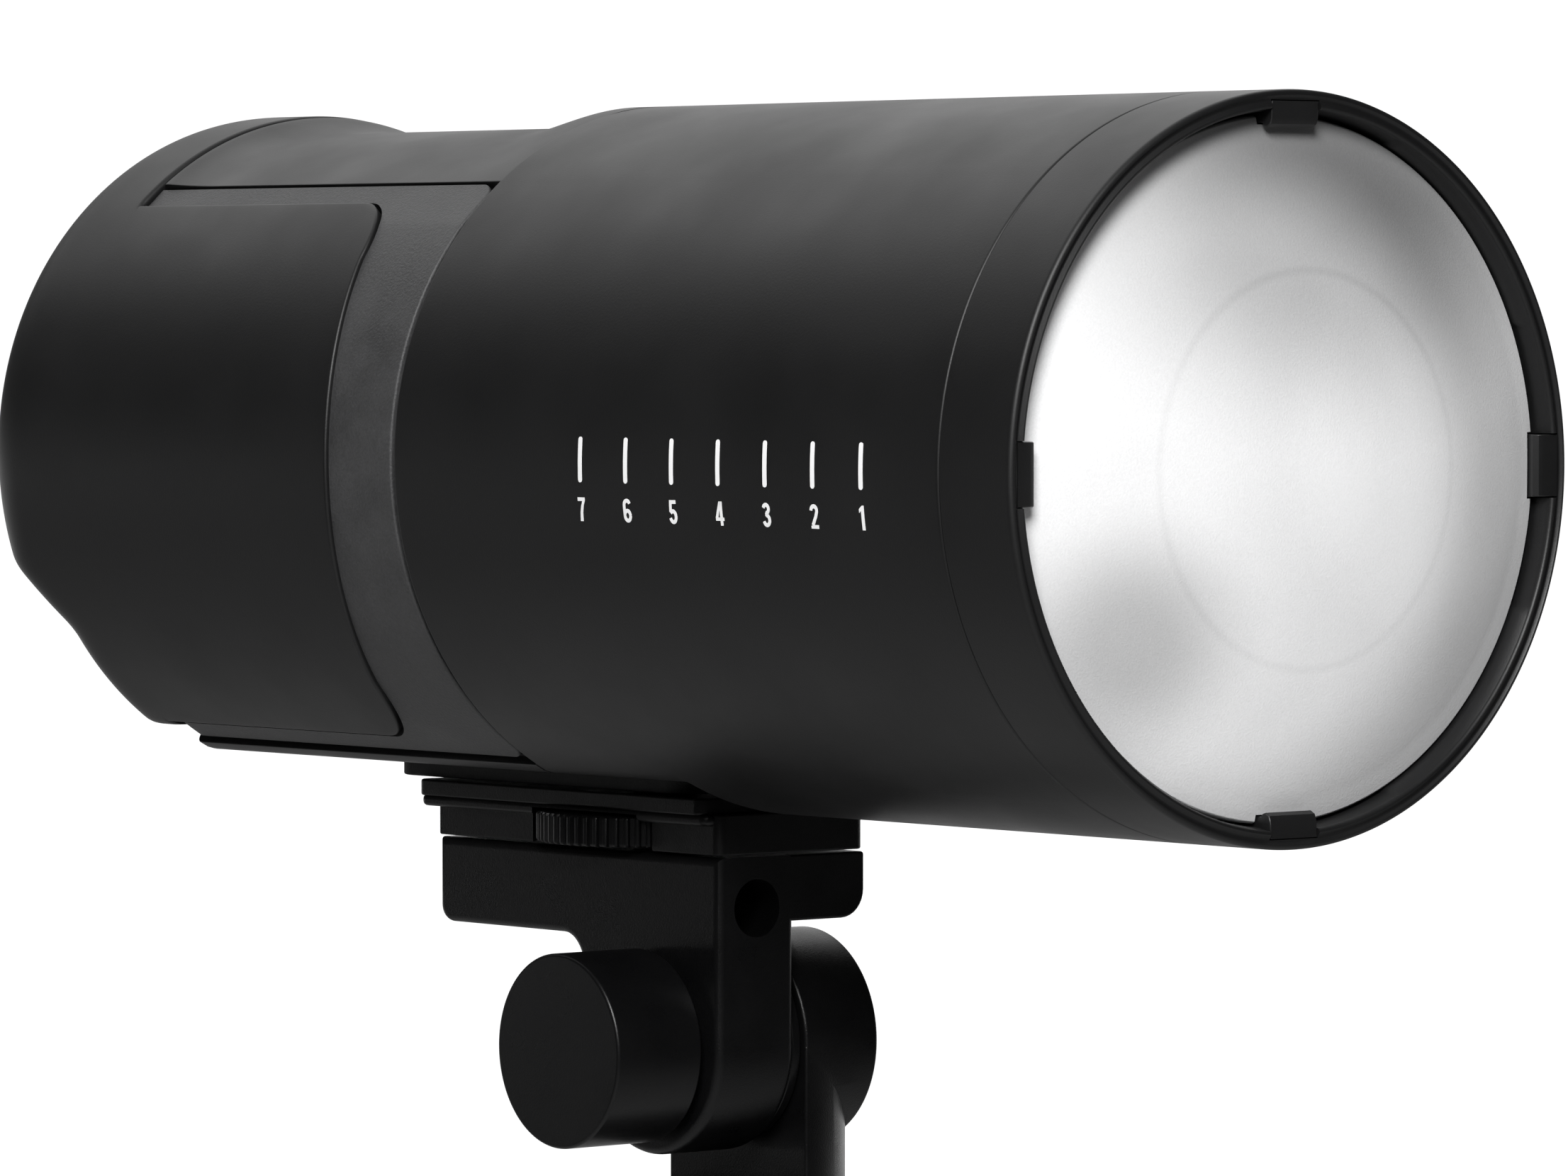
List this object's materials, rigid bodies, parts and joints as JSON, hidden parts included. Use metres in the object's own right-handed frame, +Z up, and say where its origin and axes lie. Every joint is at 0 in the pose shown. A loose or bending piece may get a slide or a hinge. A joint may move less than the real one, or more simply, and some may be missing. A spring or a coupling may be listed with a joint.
{
  "type": "monolight strobe",
  "caption": "Round battery-powered monolight strobe with a frosted glass dome, on a tilting adapter with an umbrella hole and a stand socket.",
  "frame": {"origin": "centre of the seat at the blind end of the stand socket's bore, on the stand's axis", "axes": "+X the way the light points, +Y the flash's left side, +Z up along the stand"},
  "size_m": [0.2397, 0.1, 0.1955],
  "materials": {
    "shell": "fine soft-touch moulded black",
    "grip": "fine textured dark grey",
    "anodised": "bead-blasted satin black anodised",
    "trim": "satin black moulded",
    "frosted_glass": "fine frosted",
    "silver": "bright specular",
    "bare_metal": "milled",
    "steel": "satin",
    "brass": "turned",
    "ceramic": "fired matt",
    "quartz": "clear polished",
    "circuit": "solder mask",
    "sleeve": "printed film sleeve",
    "rubber": "matt",
    "screen": "polished black",
    "button": "fine matt"
  },
  "bodies": {
    "stand": {"stand_socket": "anodised", "tilt_nut": "steel"},
    "flash": {"main_shell": "shell", "front_ring": "shell", "glass_dome": "frosted_glass", "dome_clip_top": "trim", "dome_clip_right": "trim", "dome_clip_bottom": "trim", "dome_clip_left": "trim", "reflector": "silver", "flashtube": "quartz", "flashtube_base": "ceramic", "modelling_led": "ceramic", "heat_sink": "bare_metal", "fan_frame": "trim", "capacitor_1": "sleeve", "capacitor_2": "sleeve", "capacitor_3": "sleeve", "capacitor_4": "sleeve", "power_board": "circuit", "control_board": "circuit", "side_frame_right": "grip", "rear_cap": "shell", "display_window": "screen", "port_block": "trim", "battery_connector": "brass", "mount_pad": "rubber", "mount_insert": "brass", "adapter_plate": "anodised", "adapter_bracket": "anodised", "tilt_washer": "trim"},
    "fan_rotor": {"fan_rotor": "trim"},
    "dial": {"dial": "anodised"},
    "dial_button": {"dial_button": "trim"},
    "test_button": {"test_button": "button"},
    "model_light_button": {"model_light_button": "button"},
    "port_cover": {"port_cover": "rubber"},
    "battery": {"battery_cover": "shell", "battery_tray": "grip", "battery_cells": "sleeve"},
    "battery_release": {"battery_release_button": "trim"},
    "thumbwheel": {"thumbwheel": "anodised", "captive_screw": "steel"},
    "umbrella_lock": {"umbrella_lock_screw": "trim"},
    "tilt_knob": {"tilt_knob": "anodised", "tilt_bolt": "steel"},
    "stand_lock": {"stand_lock_knob": "trim"}
  },
  "joints": [
    {"name": "tilt", "type": "hinge", "parent": "stand", "child": "flash", "pos_m": [0, 0, 0.026], "axis": [0, 1, 0], "range_deg": [-90, 90]},
    {"name": "tilt_knob_turn", "type": "hinge", "parent": "flash", "child": "tilt_knob", "pos_m": [0, 0, 0.026], "axis": [0, 1, 0], "range_deg": [0, 270]},
    {"name": "captive_screw_turn", "type": "hinge", "parent": "flash", "child": "thumbwheel", "pos_m": [-0.013, -0.0026, 0.056], "axis": [0, 0, 1], "continuous": true},
    {"name": "umbrella_lock_turn", "type": "hinge", "parent": "flash", "child": "umbrella_lock", "pos_m": [-0.033, 0, 0.0459], "axis": [0, 1, 0], "range_deg": [0, 270]},
    {"name": "stand_lock_turn", "type": "hinge", "parent": "stand", "child": "stand_lock", "pos_m": [0, 0, -0.02], "axis": [0, 1, 0], "range_deg": [0, 270]},
    {"name": "battery_slide", "type": "slide", "parent": "flash", "child": "battery", "axis": [0, 1, 0], "range_m": [0, 0.045]},
    {"name": "battery_release_press", "type": "slide", "parent": "battery", "child": "battery_release", "axis": [0, -1, 0], "range_m": [0, 0.002], "stiffness_N_per_m": 300},
    {"name": "test_press", "type": "slide", "parent": "flash", "child": "test_button", "axis": [1, 0, 0], "range_m": [0, 0.0008], "stiffness_N_per_m": 400},
    {"name": "model_light_press", "type": "slide", "parent": "flash", "child": "model_light_button", "axis": [1, 0, 0], "range_m": [0, 0.0008], "stiffness_N_per_m": 400},
    {"name": "dial_turn", "type": "hinge", "parent": "flash", "child": "dial", "pos_m": [-0.113, -0.0026, 0.1025], "axis": [1, 0, 0], "continuous": true},
    {"name": "dial_press", "type": "slide", "parent": "dial", "child": "dial_button", "axis": [1, 0, 0], "range_m": [0, 0.0006], "stiffness_N_per_m": 400},
    {"name": "port_cover_hinge", "type": "hinge", "parent": "flash", "child": "port_cover", "pos_m": [-0.1075, -0.0026, 0.0722], "axis": [0, -1, 0], "range_deg": [0, 110]},
    {"name": "fan_spin", "type": "hinge", "parent": "flash", "child": "fan_rotor", "pos_m": [0.0476, -0.0026, 0.109], "axis": [1, 0, 0], "continuous": true}
  ]
}
